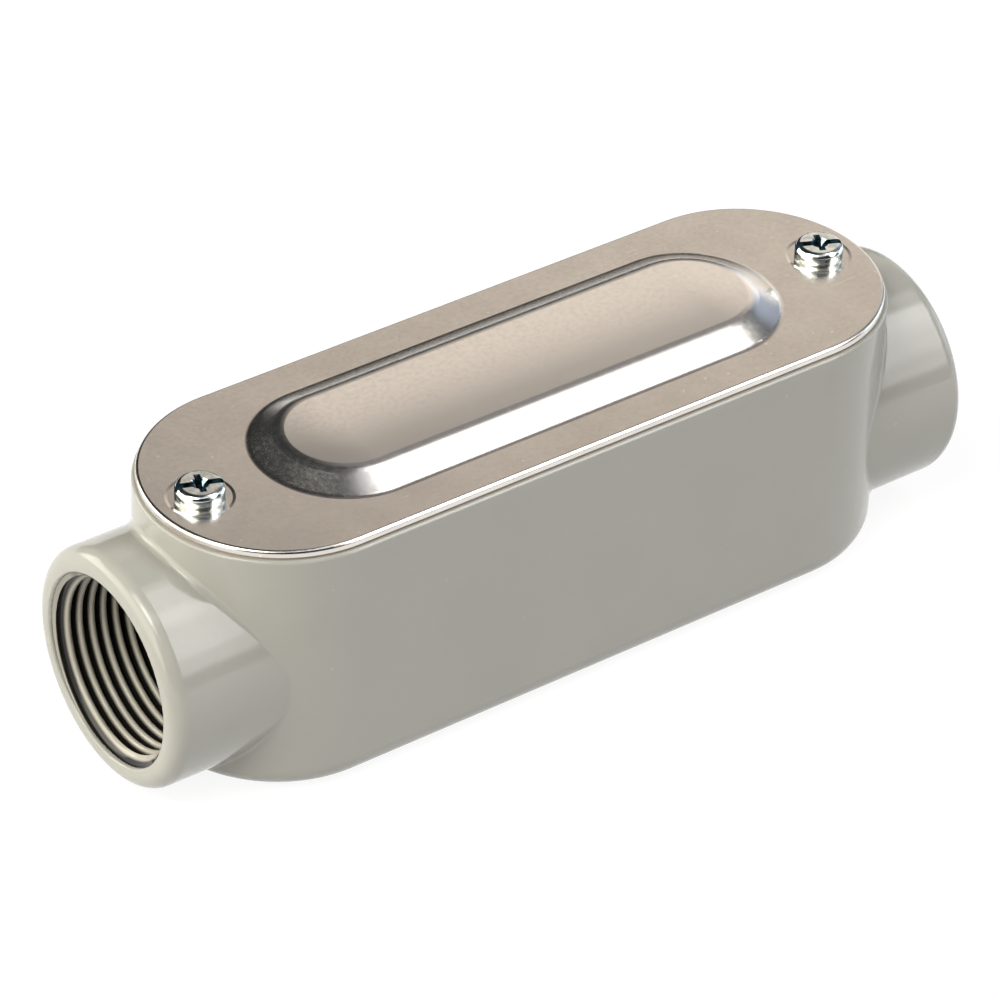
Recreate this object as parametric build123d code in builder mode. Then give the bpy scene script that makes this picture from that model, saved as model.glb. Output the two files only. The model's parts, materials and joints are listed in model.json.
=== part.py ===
from build123d import *
import os
from math import asin, cos, degrees, radians, sin

os.makedirs("parts", exist_ok=True)

# The casting lies along X on its flat back, open side up.
# Both ends are alike, and the origin is the middle of the back.

# Hubs for rigid conduit of trade size 1
bore_radius = 16.4  # root of the tapered pipe thread, 2.209 pitch
thread_depth = 17.5
mouth_radius = 0.5  # rounding at the mouth of the bore
bushing_radius = 13.3  # smooth throat that the wires bear on
bushing_length = 2.5
bushing_bevel = 1.1
hub_wall = 4.0
hub_reach = 9.4  # past the round end of the casting
hub_lip_radius = 2.7
hub_root_radius = 1.2
hub_lift = 0.2  # lowest line of a hub above the flat back

# Casting
straight_length = 94.0  # flat sides, between the centres of the round ends
side_step = 2.85  # casting beyond the hub, on each side
rim_rise = 5.0  # rim above the top of the hubs
side_wall = 3.0
back_wall = 3.0
back_edge_radius = 4.6
rim_edge_radius = 0.5
chamber_corner_radius = 12.0
chamber_floor_bevel = 2.0

# Cover screws and their bosses
screw_inset = 8.4  # screw axis from the outermost point of the round end
screw_radius = 2.06
screw_length = 7.9
screw_tip = 0.5
thread_clearance = 0.06
boss_wall = 2.78
boss_height = 5.5
tapped_depth = 7.0
head_radius = 4.05
head_height = 2.65
head_edge_radius = 1.0
head_foot_bevel = 0.4
slot_width = 1.3
slot_depth = 1.0
cross_reach = 4.7
cross_width = 1.1
cross_depth = 1.5
cross_mouth_radius = 1.5  # of the cone in the middle of the cross
cross_floor_radius = 0.6
slot_turns = {"cover_screw_left": -19.0, "cover_screw_right": -24.0}

# Gasket
gasket_thickness = 0.5
gasket_setback = 0.2  # behind the edge of the cover

# Cover
cover_sheet = 1.1
cover_step = 0.6  # inside the outline of the casting
cover_edge_radius = 0.6
cover_hole_radius = 2.4
coin_radius = 5.6  # shallow dish round a screw hole
coin_slope = 0.5
coin_depth = 0.08

# Raised panel of the cover
side_flange = 6.95  # edge of the cover to the foot of the panel
end_flange = 19.35
panel_slope = 27.0
panel_shoulder = 6.2  # foot of the panel to the start of its shoulder
shoulder_radius = 5.0
foot_radius = 2.0
crown_radius = 150.0

# Places that follow from the sizes above
hub_radius = bore_radius + hub_wall
hub_axis = hub_radius + hub_lift
end_radius = hub_radius + side_step
rim_height = hub_axis + hub_radius + rim_rise
end_centre = straight_length / 2
casting_end = end_centre + end_radius
hub_face = casting_end + hub_reach
chamber_end = hub_face - thread_depth - bushing_length
chamber_side = end_radius - side_wall
tapped_radius = screw_radius + thread_clearance
boss_radius = tapped_radius + boss_wall
screw_x = casting_end - screw_inset
screw_places = [(-screw_x, 0), (screw_x, 0)]
cover_seat = rim_height + gasket_thickness
cover_top = cover_seat + cover_sheet
cover_radius = end_radius - cover_step
gasket_radius = cover_radius - gasket_setback
panel_radius = cover_radius - side_flange
panel_centre = end_centre + side_flange - end_flange
head_seat = cover_top - coin_depth

# Casting: an open box with round ends, fused with a hub at each end
with BuildPart() as housing:
    with BuildSketch():
        SlotCenterToCenter(straight_length, 2 * end_radius)
    extrude(amount=rim_height)
    fillet(housing.faces().sort_by(Axis.Z)[0].edges(), back_edge_radius)
    fillet(housing.faces().sort_by(Axis.Z)[-1].edges(), rim_edge_radius)

    for side in (-1, 1):
        with BuildSketch(Plane.YZ.offset(side * hub_face)):
            with Locations((0, hub_axis)):
                Circle(hub_radius)
        extrude(amount=-side * (hub_reach + end_radius))
        fillet(housing.edges(Select.LAST).filter_by(GeomType.BSPLINE), hub_root_radius)
    face_rings = housing.faces().filter_by(Axis.X).edges()
    fillet(face_rings, hub_lip_radius)

    with BuildSketch(Plane.XY.offset(back_wall)):
        RectangleRounded(2 * chamber_end, 2 * chamber_side, chamber_corner_radius)
    extrude(amount=rim_height - back_wall, mode=Mode.SUBTRACT)
    chamber_floor = housing.faces().filter_by_position(Axis.Z, back_wall, back_wall)
    chamfer(chamber_floor.edges(), chamber_floor_bevel)

    # A boss is a short post with a cone below it, half of it inside the end wall
    for x, y in screw_places:
        with BuildSketch(Plane.XZ):
            with BuildLine():
                Polyline(
                    (x, rim_height),
                    (x + boss_radius, rim_height),
                    (x + boss_radius, rim_height - boss_height),
                    (x, rim_height - boss_height - boss_radius),
                    close=True,
                )
            make_face()
        revolve(axis=Axis((x, y, 0), (0, 0, 1)))
    with Locations(*[(x, y, rim_height) for x, y in screw_places]):
        Hole(tapped_radius, depth=tapped_depth)

    # Threaded bore with a rounded mouth, then the bevelled bushing at the chamber
    bushing_mouth = bushing_radius + bushing_bevel
    bushing_end = thread_depth + bushing_length
    for side in (-1, 1):
        hub_plane = Plane(
            origin=(side * hub_face, 0, hub_axis), x_dir=(-side, 0, 0), z_dir=(0, side, 0)
        )
        with BuildSketch(hub_plane):
            with BuildLine():
                Line((0, 0), (0, bore_radius + mouth_radius))
                TangentArc(
                    (0, bore_radius + mouth_radius), (mouth_radius, bore_radius), tangent=(0, -1)
                )
                Polyline(
                    (mouth_radius, bore_radius),
                    (thread_depth, bore_radius),
                    (thread_depth, bushing_mouth),
                    (thread_depth + bushing_bevel, bushing_radius),
                    (bushing_end - bushing_bevel, bushing_radius),
                    (bushing_end, bushing_mouth),
                    (bushing_end + chamber_corner_radius, bushing_mouth),
                    (bushing_end + chamber_corner_radius, 0),
                    (0, 0),
                )
            make_face()
        revolve(axis=Axis((0, 0, hub_axis), (1, 0, 0)), mode=Mode.SUBTRACT)

# Gasket: a flat frame on the rim, with an ear round each screw
with BuildPart() as gasket:
    with BuildSketch(Plane.XY.offset(rim_height)):
        SlotCenterToCenter(straight_length, 2 * gasket_radius)
        RectangleRounded(
            2 * chamber_end, 2 * chamber_side, chamber_corner_radius, mode=Mode.SUBTRACT
        )
        with Locations(*screw_places):
            Circle(boss_radius)
        with Locations(*screw_places):
            Circle(cover_hole_radius, mode=Mode.SUBTRACT)
    extrude(amount=gasket_thickness)

# Half section through the raised panel, from its middle line out to its foot
crown_angle = degrees(asin((panel_radius - panel_shoulder) / crown_radius))
slope_run = (
    panel_shoulder
    - shoulder_radius * (sin(radians(panel_slope)) - sin(radians(crown_angle)))
    - foot_radius * sin(radians(panel_slope))
)
slope_length = slope_run / cos(radians(panel_slope))
panel_rise = (
    crown_radius * (1 - cos(radians(crown_angle)))
    + shoulder_radius * (cos(radians(crown_angle)) - cos(radians(panel_slope)))
    + slope_length * sin(radians(panel_slope))
    + foot_radius * (1 - cos(radians(panel_slope)))
)
with BuildSketch() as panel_half:
    with BuildLine():
        # upper skin
        crown = JernArc((0, cover_top + panel_rise), (1, 0), crown_radius, -crown_angle)
        shoulder = JernArc(crown @ 1, crown % 1, shoulder_radius, crown_angle - panel_slope)
        slope = Line(shoulder @ 1, shoulder @ 1 + (shoulder % 1) * slope_length)
        foot = JernArc(slope @ 1, slope % 1, foot_radius, panel_slope)
        # lower skin, one sheet below
        inner_crown = JernArc(
            (0, cover_seat + panel_rise), (1, 0), crown_radius - cover_sheet, -crown_angle
        )
        inner_shoulder = JernArc(
            inner_crown @ 1,
            inner_crown % 1,
            shoulder_radius - cover_sheet,
            crown_angle - panel_slope,
        )
        inner_slope = Line(
            inner_shoulder @ 1, inner_shoulder @ 1 + (inner_shoulder % 1) * slope_length
        )
        inner_foot = JernArc(
            inner_slope @ 1, inner_slope % 1, foot_radius + cover_sheet, panel_slope
        )
        Line(foot @ 1, inner_foot @ 1)
        Line(crown @ 0, inner_crown @ 0)
    make_face()

# Cover: a flat oval sheet with the panel pressed up out of it
with BuildPart() as cover:
    with BuildSketch(Plane.XY.offset(cover_seat)):
        SlotCenterToCenter(straight_length, 2 * cover_radius)
    extrude(amount=cover_sheet)
    fillet(cover.faces().sort_by(Axis.Z)[-1].edges(), cover_edge_radius)
    with BuildSketch(Plane.XY.offset(cover_seat)):
        SlotCenterToCenter(2 * panel_centre, 2 * panel_radius)
    extrude(amount=cover_sheet, mode=Mode.SUBTRACT)
    with BuildSketch(Plane.YZ.offset(-panel_centre)):
        add(panel_half.sketch)
        mirror(about=Plane.YZ)
    extrude(amount=2 * panel_centre)
    for side in (-1, 1):
        end_plane = Plane(
            origin=(side * panel_centre, 0, 0), x_dir=(0, -side, 0), z_dir=(-side, 0, 0)
        )
        with BuildSketch(end_plane):
            add(panel_half.sketch)
        revolve(axis=Axis((side * panel_centre, 0, 0), (0, 0, 1)), revolution_arc=180)
    with Locations(*[(x, y, cover_top) for x, y in screw_places]):
        Cone(
            coin_radius - coin_slope,
            coin_radius,
            coin_depth,
            align=(Align.CENTER, Align.CENTER, Align.MAX),
            mode=Mode.SUBTRACT,
        )
        Hole(cover_hole_radius)

for sub_part, name in ((housing, "housing"), (gasket, "gasket"), (cover, "cover")):
    sub_part.part.label = name
    export_step(sub_part.part, f"parts/{name}.step")

# Cover screws: pan heads with a slot and a cross recess
for (x, y), name in zip(screw_places, slot_turns):
    with BuildPart() as screw:
        screw_plane = Plane(origin=(x, y, head_seat), x_dir=(1, 0, 0), z_dir=(0, -1, 0))
        with BuildSketch(screw_plane) as half_section:
            with BuildLine():
                Polyline(
                    (0, head_height),
                    (0, -screw_length),
                    (screw_radius - screw_tip, -screw_length),
                    (screw_radius, screw_tip - screw_length),
                    (screw_radius, 0),
                    (head_radius - head_foot_bevel, 0),
                    (head_radius, head_foot_bevel),
                    (head_radius, head_height),
                    close=True,
                )
            make_face()
            outer_corners = half_section.vertices().group_by(Axis.X)[-1]
            fillet(outer_corners.sort_by(Axis.Y)[-1], head_edge_radius)
        revolve(axis=Axis((x, y, 0), (0, 0, 1)))
        head_top = Plane(origin=(x, y, head_seat + head_height))
        with BuildSketch(head_top):
            Rectangle(3 * head_radius, slot_width, rotation=slot_turns[name])
        extrude(amount=-slot_depth, mode=Mode.SUBTRACT)
        with BuildSketch(head_top):
            Rectangle(cross_reach, cross_width, rotation=slot_turns[name])
            Rectangle(cross_reach, cross_width, rotation=slot_turns[name] + 90)
        extrude(amount=-cross_depth, mode=Mode.SUBTRACT)
        with Locations(head_top):
            Cone(
                cross_floor_radius,
                cross_mouth_radius,
                cross_depth,
                align=(Align.CENTER, Align.CENTER, Align.MAX),
                mode=Mode.SUBTRACT,
            )
    screw.part.label = name
    export_step(screw.part, f"parts/{name}.step")
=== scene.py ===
import json
from math import cos, floor, pi, radians, sin, tan

import bmesh
import bpy
from mathutils import Matrix, Vector


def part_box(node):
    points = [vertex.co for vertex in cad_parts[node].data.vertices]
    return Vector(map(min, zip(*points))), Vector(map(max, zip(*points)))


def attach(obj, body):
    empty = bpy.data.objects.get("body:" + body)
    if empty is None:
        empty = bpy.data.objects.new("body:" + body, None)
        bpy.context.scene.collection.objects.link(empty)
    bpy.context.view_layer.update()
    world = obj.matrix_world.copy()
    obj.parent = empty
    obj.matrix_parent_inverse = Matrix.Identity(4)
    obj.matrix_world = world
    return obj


# Lengths are in metres, angles in degrees, colours are linear
mm = 0.001

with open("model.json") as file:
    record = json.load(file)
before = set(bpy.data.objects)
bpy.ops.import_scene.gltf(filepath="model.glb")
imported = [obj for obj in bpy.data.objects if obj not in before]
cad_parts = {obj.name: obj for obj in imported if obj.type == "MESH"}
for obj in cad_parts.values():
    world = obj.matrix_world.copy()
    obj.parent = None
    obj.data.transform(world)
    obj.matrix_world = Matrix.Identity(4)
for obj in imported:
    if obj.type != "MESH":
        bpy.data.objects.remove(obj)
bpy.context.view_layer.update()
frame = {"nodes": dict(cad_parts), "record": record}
nodes = frame["nodes"]
print("frame loaded:", ", ".join(sorted(nodes)))


# Small helpers for node trees
def newMaterial(name):
    material = bpy.data.materials.new(name)
    material.use_nodes = True
    tree = material.node_tree
    return material, tree, tree.nodes["Principled BSDF"]


def addNode(tree, kind, settings=None, **inputs):
    node = tree.nodes.new(kind)
    for key, value in (settings or {}).items():
        setattr(node, key, value)
    for key, value in inputs.items():
        setInput(tree, node, key.replace("_", " "), value)
    return node


def setInput(tree, node, key, value):
    socket = node.inputs[int(key[1:])] if key.startswith("#") else node.inputs[key]
    if isinstance(value, bpy.types.NodeSocket):
        tree.links.new(value, socket)
    else:
        socket.default_value = value


def calc(tree, operation, *values):
    node = tree.nodes.new("ShaderNodeMath")
    node.operation = operation
    for index, value in enumerate(values):
        setInput(tree, node, f"#{index}", value)
    return node.outputs[0]


def ramp(tree, value, low, high, outLow=0.0, outHigh=1.0):
    node = addNode(tree, "ShaderNodeMapRange", {"interpolation_type": "SMOOTHSTEP"})
    for index, entry in enumerate((value, low, high, outLow, outHigh)):
        setInput(tree, node, f"#{index}", entry)
    return node.outputs[0]


def peaks(tree, value, above, softness=0.04):
    # 1 where the value passes its upper mark: small spots of a noise
    return ramp(tree, value, above, above + softness)


def noise(tree, vector, size, detail=2.0, roughness=0.5):
    node = addNode(tree, "ShaderNodeTexNoise", Vector=vector, Scale=1 / size, Detail=detail)
    node.inputs["Roughness"].default_value = roughness
    return node.outputs["Fac"]


def mixColour(tree, factor, first, second):
    node = addNode(tree, "ShaderNodeMix", {"data_type": "RGBA"})
    setInput(tree, node, "#0", factor)
    for index, colour in ((6, first), (7, second)):
        if not isinstance(colour, bpy.types.NodeSocket):
            colour = (*colour, 1)
        setInput(tree, node, f"#{index}", colour)
    return node.outputs[2]


def bump(tree, height, depth, normal=None):
    node = addNode(tree, "ShaderNodeBump", Height=height, Distance=depth, Strength=1.0)
    if normal is not None:
        tree.links.new(normal, node.inputs["Normal"])
    return node.outputs["Normal"]


def paint(piece, material):
    piece.data.materials.clear()
    piece.data.materials.append(material)


# Grey enamel on the die casting
enamel = {
    "colour": (0.366, 0.359, 0.328),
    "thinColour": (0.357, 0.350, 0.319),
    "speckColour": (0.405, 0.397, 0.363),
    "ridgeColour": (0.40, 0.375, 0.325),
    "speckSize": 1.3 * mm,
    "speckAbove": 0.86,
    "cloudSize": 14 * mm,
    "roughness": 0.08,
    "roughnessSpread": 0.03,
    "ior": 1.5,
    "peelSize": 1.6 * mm,
    "peelDepth": 0.010 * mm,
    "castSize": 9 * mm,
    "castDepth": 0.06 * mm,
    # Painted shade in the thread grooves: near black towards the roots, with weaker specular
    "grooveShadeColour": (0.012, 0.011, 0.010),
    "grooveShadeStart": 0.12,
    "grooveShadeEnd": 0.55,
    "grooveShadeSpecular": 0.35,
}


def makeEnamel(name, threaded=False):
    material, tree, shader = newMaterial(name)
    place = addNode(tree, "ShaderNodeTexCoord").outputs["Object"]
    peel = noise(tree, place, enamel["peelSize"], 1.0)
    cast = noise(tree, place, enamel["castSize"], 1.5)
    cloud = noise(tree, place, enamel["cloudSize"], 3.0)
    colour = mixColour(tree, ramp(tree, cloud, 0.35, 0.65), enamel["colour"], enamel["thinColour"])
    speck = peaks(tree, noise(tree, place, enamel["speckSize"], 0.0), enamel["speckAbove"])
    colour = mixColour(tree, speck, colour, enamel["speckColour"])
    if threaded:
        # Painted shade: the threads darken towards their roots by groove depth
        groove = addNode(tree, "ShaderNodeAttribute", {"attribute_name": "groove"})
        shade = ramp(tree, groove.outputs["Fac"], enamel["grooveShadeStart"], enamel["grooveShadeEnd"])
        colour = mixColour(tree, shade, enamel["ridgeColour"], enamel["grooveShadeColour"])
        shader.inputs["Specular IOR Level"].default_value = enamel["grooveShadeSpecular"]
    tree.links.new(colour, shader.inputs["Base Color"])
    low = enamel["roughness"]
    gloss = ramp(tree, cloud, 0.3, 0.7, low, low + enamel["roughnessSpread"])
    tree.links.new(gloss, shader.inputs["Roughness"])
    shader.inputs["IOR"].default_value = enamel["ior"]
    wavy = bump(tree, cast, enamel["castDepth"])
    tree.links.new(bump(tree, peel, enamel["peelDepth"], wavy), shader.inputs["Normal"])
    return material


paint(nodes["housing"], makeEnamel("grey_enamel"))

# Hub threads: a sleeve of taper pipe thread in each bore
thread = {
    "pitch": 2.209 * mm,
    "rootRadius": 16.33 * mm,
    "ridgeHeight": 1.45 * mm,
    "crestWidth": 0.42 * mm,
    "crestRounding": 0.16 * mm,
    "rootWidth": 0.16 * mm,
    "taper": 1 / 32,
    "firstCrest": 0.55 * mm,
    "start": 0.3 * mm,
    "mouthRadius": 16.65 * mm,
    "mouthSlope": 45.0,
    "end": 17.3 * mm,
    "backRadius": 16.9 * mm,
    "stepsPerTurn": 96,
    "weld": 0.003 * mm,
    "sharpAngle": 35.0,
}


def threadProfile():
    # Points across one pitch: (share of the pitch, height above the root)
    pitch = thread["pitch"]
    height = thread["ridgeHeight"]
    rounding = thread["crestRounding"]
    halfCrest = thread["crestWidth"] / 2
    middle = pitch / 2
    rising = [
        (thread["rootWidth"] / 2, 0.0),
        (middle - halfCrest - rounding * 1.4, height - rounding * 1.6),
        (middle - halfCrest - rounding * 0.5, height - rounding * 0.6),
        (middle - halfCrest + rounding * 0.4, height),
    ]
    falling = [(pitch - p, h) for p, h in reversed(rising)]
    return [(p / pitch, h) for p, h in rising + falling]


def ridgeHeight(profile, share):
    share -= floor(share)
    points = [(profile[-1][0] - 1, 0.0), *profile, (profile[0][0] + 1, 0.0)]
    for (p0, h0), (p1, h1) in zip(points, points[1:]):
        if share <= p1:
            return h0 + (h1 - h0) * (share - p0) / (p1 - p0)
    return 0.0


def makeThread(side):
    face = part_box("housing")[1].x
    mount = next(m for m in frame["record"]["mounts"] if m["pos_m"][0] * side > 0)
    axisHeight = mount["pos_m"][2]
    pitch = thread["pitch"]
    steps = thread["stepsPerTurn"]
    start = thread["start"]
    end = thread["end"]
    profile = threadProfile()
    mouthFall = tan(radians(thread["mouthSlope"]))
    mesh = bmesh.new()
    groove = mesh.verts.layers.float.new("groove")
    columns = []
    for step in range(steps):
        turned = step / steps
        first = thread["firstCrest"] + (turned - 0.5) * pitch
        depths = [start]
        for turn in range(-1, int(end / pitch) + 2):
            for share, height in profile:
                depth = first + (turn + share) * pitch
                depths.append(min(max(depth, start), end))
        depths.append(end)
        column = []
        for depth in depths:
            height = ridgeHeight(profile, (depth - first) / pitch)
            radius = thread["rootRadius"] - depth * thread["taper"] - height
            radius = max(radius, thread["mouthRadius"] - (depth - start) * mouthFall)
            column.append((depth, radius, 1 - height / thread["ridgeHeight"]))
        column.append((end, thread["backRadius"], 1.0))
        column.append((start, thread["backRadius"], 0.0))
        angle = -2 * pi * turned
        ring = []
        for depth, radius, low in column:
            along = side * (face - depth)
            across = radius * cos(angle)
            vert = mesh.verts.new((along, across, axisHeight + side * radius * sin(angle)))
            vert[groove] = low
            ring.append(vert)
        columns.append(ring)
    perTurn = len(profile)
    for index, ring in enumerate(columns):
        following = columns[(index + 1) % steps]
        # The last column meets the first one turn further on
        shift = perTurn if index == steps - 1 else 0
        inner = len(ring) - 3
        for row in range(inner):
            a, b = row, row + 1
            c, d = min(b + shift, inner), min(a + shift, inner)
            corners = [ring[a], ring[b], following[c], following[d]]
            corners = [v for k, v in enumerate(corners) if v not in corners[:k]]
            if len(corners) > 2:
                mesh.faces.new(corners)
        for a, b in ((inner, inner + 1), (inner + 1, inner + 2), (inner + 2, 0)):
            mesh.faces.new((ring[a], ring[b], following[b], following[a]))
    bmesh.ops.remove_doubles(mesh, verts=mesh.verts, dist=thread["weld"])
    bmesh.ops.dissolve_degenerate(mesh, dist=thread["weld"], edges=mesh.edges)
    bmesh.ops.recalc_face_normals(mesh, faces=mesh.faces)
    name = "hub_thread_left" if side < 0 else "hub_thread_right"
    data = bpy.data.meshes.new(name)
    mesh.to_mesh(data)
    mesh.free()
    data.shade_smooth()
    data.set_sharp_from_angle(angle=radians(thread["sharpAngle"]))
    piece = bpy.data.objects.new(name, data)
    bpy.context.scene.collection.objects.link(piece)
    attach(piece, "conduit_body")
    return piece


threadMaterial = makeEnamel("enamel_in_threads", True)
for side in (-1, 1):
    paint(makeThread(side), threadMaterial)
print("threads made")

# Satin pressed sheet of the cover
sheet = {
    "flangeColour": (0.80, 0.765, 0.72),
    "flangeDullColour": (0.73, 0.695, 0.65),
    # Painted highlight: the raised panel is coloured lighter than the flange of the same sheet
    "panelHighlightColour": (0.93, 0.90, 0.86),
    "panelStart": 47.65 * mm,
    "panelEnd": 49.2 * mm,
    "roughness": 0.21,
    "roughnessSpread": 0.05,
    "grainSize": 0.6 * mm,
    "grainDepth": 0.0005 * mm,
    "waveSize": 9 * mm,
    "waveDepth": 0.008 * mm,
    "speckleSize": 0.9 * mm,
    "stainSize": 11 * mm,
    "markColour": (0.96, 0.94, 0.91),
    "markShare": 0.6,
    "nickSize": 0.8 * mm,
    "nickAbove": 0.83,
    "scratchSize": 0.45 * mm,
    "scratchAbove": 0.80,
    "scratchStretch": 0.05,
    "scratchTurn": 62.0,
}


def makeSheet():
    material, tree, shader = newMaterial("pressed_aluminium")
    place = addNode(tree, "ShaderNodeTexCoord").outputs["Object"]
    height = addNode(tree, "ShaderNodeSeparateXYZ", Vector=place).outputs[2]
    grain = noise(tree, place, sheet["grainSize"], 2.0)
    speckle = noise(tree, place, sheet["speckleSize"], 3.0, 0.6)
    stain = noise(tree, place, sheet["stainSize"], 4.0, 0.6)
    dull = ramp(tree, stain, 0.3, 0.7)
    flange = mixColour(tree, dull, sheet["flangeColour"], sheet["flangeDullColour"])
    # Painted highlight: lighter colour on the raised panel, by height above the flange
    raisedLight = ramp(tree, height, sheet["panelStart"], sheet["panelEnd"])
    colour = mixColour(tree, raisedLight, flange, sheet["panelHighlightColour"])
    turned = addNode(tree, "ShaderNodeMapping", Vector=place)
    turned.inputs["Rotation"].default_value = (0, 0, radians(sheet["scratchTurn"]))
    turned.inputs["Scale"].default_value = (sheet["scratchStretch"], 1, 1)
    scratch = noise(tree, turned.outputs[0], sheet["scratchSize"], 0.0)
    nick = noise(tree, place, sheet["nickSize"], 0.0)
    scratched = peaks(tree, scratch, sheet["scratchAbove"], 0.06)
    marked = calc(tree, "MAXIMUM", scratched, peaks(tree, nick, sheet["nickAbove"]))
    marked = calc(tree, "MULTIPLY", marked, sheet["markShare"])
    colour = mixColour(tree, marked, colour, sheet["markColour"])
    tree.links.new(colour, shader.inputs["Base Color"])
    low = sheet["roughness"]
    rough = ramp(tree, speckle, 0.35, 0.75, low, low + sheet["roughnessSpread"])
    tree.links.new(rough, shader.inputs["Roughness"])
    shader.inputs["Metallic"].default_value = 1.0
    wave = noise(tree, place, sheet["waveSize"], 1.0)
    wavy = bump(tree, wave, sheet["waveDepth"])
    tree.links.new(bump(tree, grain, sheet["grainDepth"], wavy), shader.inputs["Normal"])
    return material


paint(nodes["cover"], makeSheet())

# Tan fibre of the gasket
gasketLook = {
    "colour": (0.45, 0.36, 0.30),
    "darkShare": 0.5,
    "roughness": 0.6,
    "fibreSize": 0.3 * mm,
    "fibreDepth": 0.03 * mm,
}


def makeGasket():
    material, tree, shader = newMaterial("gasket_rubber")
    place = addNode(tree, "ShaderNodeTexCoord").outputs["Object"]
    fibre = noise(tree, place, gasketLook["fibreSize"], 3.0)
    dark = tuple(gasketLook["darkShare"] * part for part in gasketLook["colour"])
    colour = mixColour(tree, fibre, gasketLook["colour"], dark)
    tree.links.new(colour, shader.inputs["Base Color"])
    shader.inputs["Roughness"].default_value = gasketLook["roughness"]
    tree.links.new(bump(tree, fibre, gasketLook["fibreDepth"]), shader.inputs["Normal"])
    return material


paint(nodes["gasket"], makeGasket())

# Bright zinc of the screws
zinc = {
    "colour": (0.86, 0.91, 0.90),
    "hazeColour": (0.70, 0.76, 0.76),
    # Painted shade inside the screw slots
    "slotShadeColour": (0.24, 0.35, 0.40),
    "slotShadeBelow": 50.0 * mm,
    "slotHalfWidth": 0.68 * mm,
    "slotReach": 3.95 * mm,
    "crossReach": 2.45 * mm,
    "hazeSize": 1.1 * mm,
    "roughness": 0.10,
    "roughnessSpread": 0.12,
    "grainSize": 0.25 * mm,
    "grainDepth": 0.006 * mm,
}
# Each screw's axis along X, and how far its slot is turned
screwPlaces = {
    "cover_screw_left": (-61.85 * mm, -19.0),
    "cover_screw_right": (61.85 * mm, -24.0),
}


def makeSlotShade(tree, place, centre, turn):
    # 1 inside the slot and the cross of a head, 0 on its outside: where painted shade darkens the
    # head
    moved = addNode(tree, "ShaderNodeVectorMath", {"operation": "SUBTRACT"})
    tree.links.new(place, moved.inputs[0])
    moved.inputs[1].default_value = (centre, 0, 0)
    turned = addNode(tree, "ShaderNodeVectorRotate", {"rotation_type": "Z_AXIS"})
    tree.links.new(moved.outputs[0], turned.inputs["Vector"])
    turned.inputs["Angle"].default_value = -radians(turn)
    axes = addNode(tree, "ShaderNodeSeparateXYZ", Vector=turned.outputs[0]).outputs
    flat = addNode(tree, "ShaderNodeCombineXYZ", X=axes[0], Y=axes[1])
    away = addNode(tree, "ShaderNodeVectorMath", {"operation": "LENGTH"})
    tree.links.new(flat.outputs[0], away.inputs[0])
    radius = away.outputs["Value"]
    inSlot = calc(tree, "LESS_THAN", calc(tree, "ABSOLUTE", axes[1]), zinc["slotHalfWidth"])
    inSlot = calc(tree, "MULTIPLY", inSlot, calc(tree, "LESS_THAN", radius, zinc["slotReach"]))
    inside = calc(tree, "MAXIMUM", inSlot, calc(tree, "LESS_THAN", radius, zinc["crossReach"]))
    return calc(tree, "MULTIPLY", inside, calc(tree, "LESS_THAN", axes[2], zinc["slotShadeBelow"]))


def makeZinc(name):
    material, tree, shader = newMaterial("bright_zinc_" + name)
    place = addNode(tree, "ShaderNodeTexCoord").outputs["Object"]
    grain = noise(tree, place, zinc["grainSize"], 2.0)
    haze = noise(tree, place, zinc["hazeSize"], 3.0)
    colour = mixColour(tree, ramp(tree, haze, 0.35, 0.7), zinc["colour"], zinc["hazeColour"])
    # Painted shade: the slot and centre of the head take a dark bluish colour
    slotShade = makeSlotShade(tree, place, *screwPlaces[name])
    colour = mixColour(tree, slotShade, colour, zinc["slotShadeColour"])
    tree.links.new(colour, shader.inputs["Base Color"])
    low = zinc["roughness"]
    rough = ramp(tree, haze, 0.35, 0.7, low, low + zinc["roughnessSpread"])
    tree.links.new(rough, shader.inputs["Roughness"])
    shader.inputs["Metallic"].default_value = 1.0
    tree.links.new(bump(tree, grain, zinc["grainDepth"]), shader.inputs["Normal"])
    return material


for name in screwPlaces:
    paint(nodes[name], makeZinc(name))
print("materials made")

# Pale floor, white to the camera and in reflections, lit and shadowed for the rest
floorLook = {
    "size": 3.0,
    "drop": 0.05 * mm,
    "albedo": 0.6,
    "roughness": 0.9,
    "white": 1.13,
    "shadowShare": 0.2,
}


def makeFloor():
    half = floorLook["size"] / 2
    corners = [(-half, -half, 0), (half, -half, 0), (half, half, 0), (-half, half, 0)]
    data = bpy.data.meshes.new("floor")
    data.from_pydata(corners, [], [(0, 1, 2, 3)])
    piece = bpy.data.objects.new("floor", data)
    piece.location.z = -floorLook["drop"]
    bpy.context.scene.collection.objects.link(piece)
    material, tree, shader = newMaterial("floor")
    albedo = floorLook["albedo"]
    shader.inputs["Base Color"].default_value = (albedo, albedo, albedo, 1)
    shader.inputs["Roughness"].default_value = floorLook["roughness"]
    shader.inputs["Specular IOR Level"].default_value = 0.0
    glow = addNode(tree, "ShaderNodeEmission", Color=(1, 1, 1, 1), Strength=floorLook["white"])
    path = addNode(tree, "ShaderNodeLightPath")
    seen = calc(tree, "MAXIMUM", path.outputs["Is Camera Ray"], path.outputs["Is Glossy Ray"])
    seen = calc(tree, "MAXIMUM", seen, path.outputs["Is Transmission Ray"])
    share = calc(tree, "MULTIPLY", seen, 1 - floorLook["shadowShare"])
    mix = addNode(tree, "ShaderNodeMixShader")
    tree.links.new(share, mix.inputs[0])
    tree.links.new(shader.outputs[0], mix.inputs[1])
    tree.links.new(glow.outputs[0], mix.inputs[2])
    tree.links.new(mix.outputs[0], tree.nodes["Material Output"].inputs["Surface"])
    paint(piece, material)


makeFloor()

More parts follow.
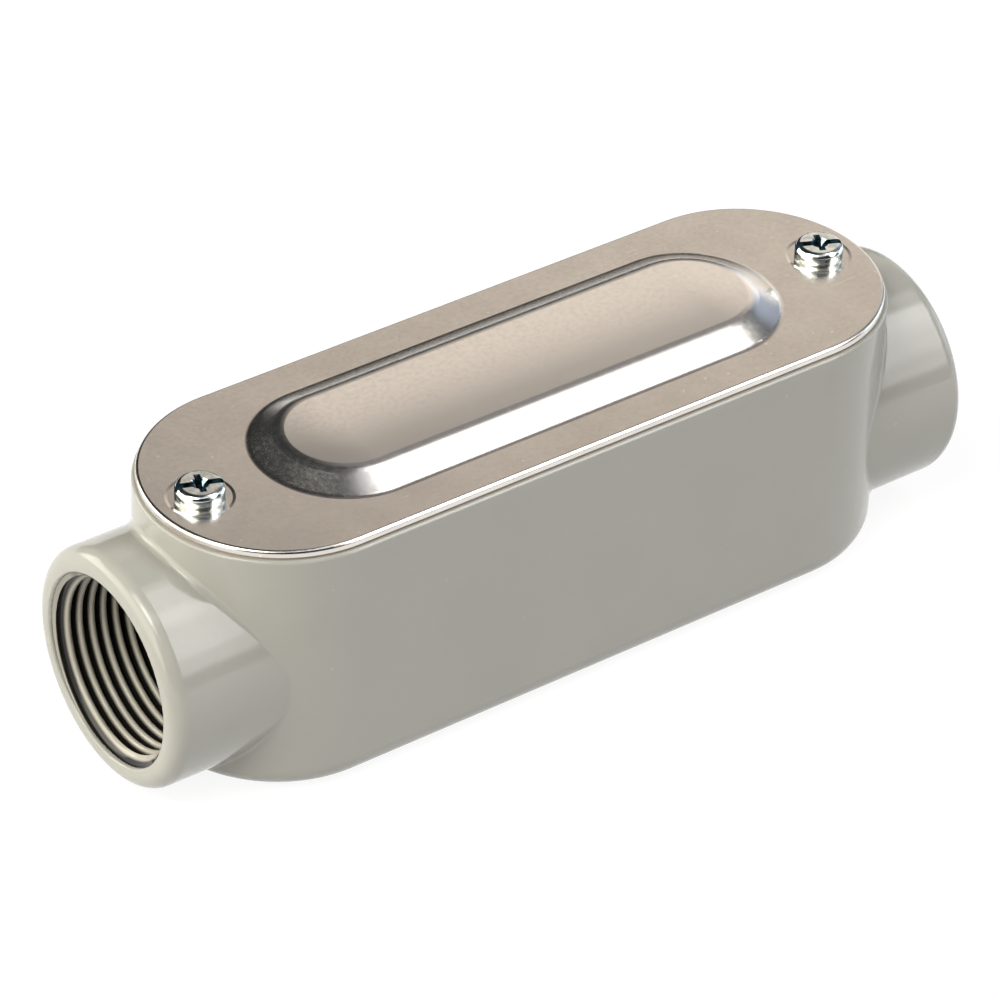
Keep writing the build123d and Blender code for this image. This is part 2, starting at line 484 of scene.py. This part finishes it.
# Studio round the object: soft patches of light by compass direction from +X towards +Y
# azimuth, half width, lowest and highest elevation, soft edge, colour, strength
studio = {
    "base": (0.016, 0.018, 0.020),
    "seam": 80.0,  # azimuth that no patch reaches
    "patches": [
        (170, 32, -3, 36, 5, (1.0, 0.97, 0.85), 4.0),
        (-168, 32, 42, 65, 5, (1.0, 0.98, 0.89), 5.4),
        (-165, 14, 47, 60, 4, (1.0, 0.99, 0.93), 7.0),
        (-120, 65, 62, 73, 4, (0.95, 0.95, 1.0), 1.9),
        (-25, 24, 72, 83, 4, (0.95, 0.95, 1.0), 0.6),
        (122, 16, 0, 26, 5, (1.0, 0.96, 0.86), 5.2),
        (46, 16, 18, 38, 6, (1.0, 0.89, 0.78), 0.90),
        (35, 26, 42, 60, 5, (0.98, 0.93, 0.92), 0.19),
        (12, 11, 60, 72, 6, (1.0, 0.98, 0.97), 2.7),
        (-8, 13, 56, 69, 7, (1.0, 0.99, 0.97), 4.5),
        (-34, 16, 42, 62, 6, (1.0, 0.99, 0.98), 6.5),
        (-53, 12, 26, 46, 6, (1.0, 0.99, 0.98), 4.8),
        (-60, 9, 11, 28, 3, (1.0, 0.99, 0.98), 2.8),
        (-18, 16, 18, 44, 4, (0.95, 0.96, 1.0), 0.7),
        (19, 12, 14, 34, 5, (0.66, 0.78, 1.0), 0.52),
        (-8, 16, -3, 18, 4, (0.72, 0.88, 1.0), 2.8),
        (34, 9, 3, 22, 3, (0.95, 0.97, 1.0), 0.9),
        (25, 14, -3, 6, 3, (1.0, 0.80, 0.50), 0.6),
    ],
}


def within(tree, value, centre, half, edge):
    # 1 where the value lies near the centre, with a soft edge
    away = calc(tree, "ABSOLUTE", calc(tree, "SUBTRACT", value, float(centre)))
    return ramp(tree, away, half - edge, half + edge, 1.0, 0.0)


def makeStudio():
    world = bpy.data.worlds.new("studio")
    world.use_nodes = True
    bpy.context.scene.world = world
    tree = world.node_tree
    background = tree.nodes["Background"]
    place = addNode(tree, "ShaderNodeTexCoord").outputs["Generated"]
    axes = addNode(tree, "ShaderNodeSeparateXYZ", Vector=place).outputs
    seam = studio["seam"]
    turn = calc(tree, "DEGREES", calc(tree, "ARCTAN2", axes[1], axes[0]))
    turn = calc(tree, "WRAP", turn, seam, seam - 360)
    rise = calc(tree, "DEGREES", calc(tree, "ARCSINE", axes[2]))
    total = addNode(tree, "ShaderNodeCombineXYZ").outputs[0]
    for index, part in enumerate(studio["base"]):
        total.node.inputs[index].default_value = part
    for azimuth, halfWidth, low, high, edge, colour, strength in studio["patches"]:
        middle = azimuth - 360 if azimuth > seam else azimuth
        halfHeight = (high - low) / 2
        sideways = within(tree, turn, middle, halfWidth, edge)
        upwards = within(tree, rise, low + halfHeight, halfHeight, edge)
        share = calc(tree, "MULTIPLY", sideways, upwards)
        joined = addNode(tree, "ShaderNodeVectorMath", {"operation": "MULTIPLY_ADD"})
        joined.inputs[0].default_value = [part * strength for part in colour]
        tree.links.new(share, joined.inputs[1])
        tree.links.new(total, joined.inputs[2])
        total = joined.outputs[0]
    path = addNode(tree, "ShaderNodeLightPath")
    tree.links.new(
        mixColour(tree, path.outputs["Is Camera Ray"], total, (1.0, 1.0, 1.0)),
        background.inputs["Color"],
    )


makeStudio()

# Camera, fitted to the outlines of the photograph
cameraPlace = {
    "target": (0, 0, 20.925 * mm),
    "azimuth": -37.6213,
    "elevation": 36.3836,
    "roll": 2.59,
    "distance": 882.1 * mm,
    "sideways": -2.27 * mm,
    "upwards": 0.732 * mm,
    "lens": 193.24,
    "sensor": 36.0,
}


def makeCamera():
    turn = radians(cameraPlace["azimuth"])
    rise = radians(cameraPlace["elevation"])
    roll = radians(cameraPlace["roll"])
    back = Vector((sin(turn) * cos(rise), -cos(turn) * cos(rise), sin(rise)))
    levelRight = Vector((cos(turn), sin(turn), 0))
    levelUp = back.cross(levelRight)
    right = levelRight * cos(roll) + levelUp * sin(roll)
    up = levelUp * cos(roll) - levelRight * sin(roll)
    place = Vector(cameraPlace["target"]) + back * cameraPlace["distance"]
    place += right * cameraPlace["sideways"] + up * cameraPlace["upwards"]
    data = bpy.data.cameras.new("camera")
    data.lens = cameraPlace["lens"]
    data.sensor_width = cameraPlace["sensor"]
    camera = bpy.data.objects.new("camera", data)
    bpy.context.scene.collection.objects.link(camera)
    camera.matrix_world = Matrix(
        (
            (right.x, up.x, back.x, place.x),
            (right.y, up.y, back.y, place.y),
            (right.z, up.z, back.z, place.z),
            (0, 0, 0, 1),
        )
    )
    bpy.context.scene.camera = camera


makeCamera()
bpy.context.scene.view_settings.view_transform = "Standard"
print("stage made")
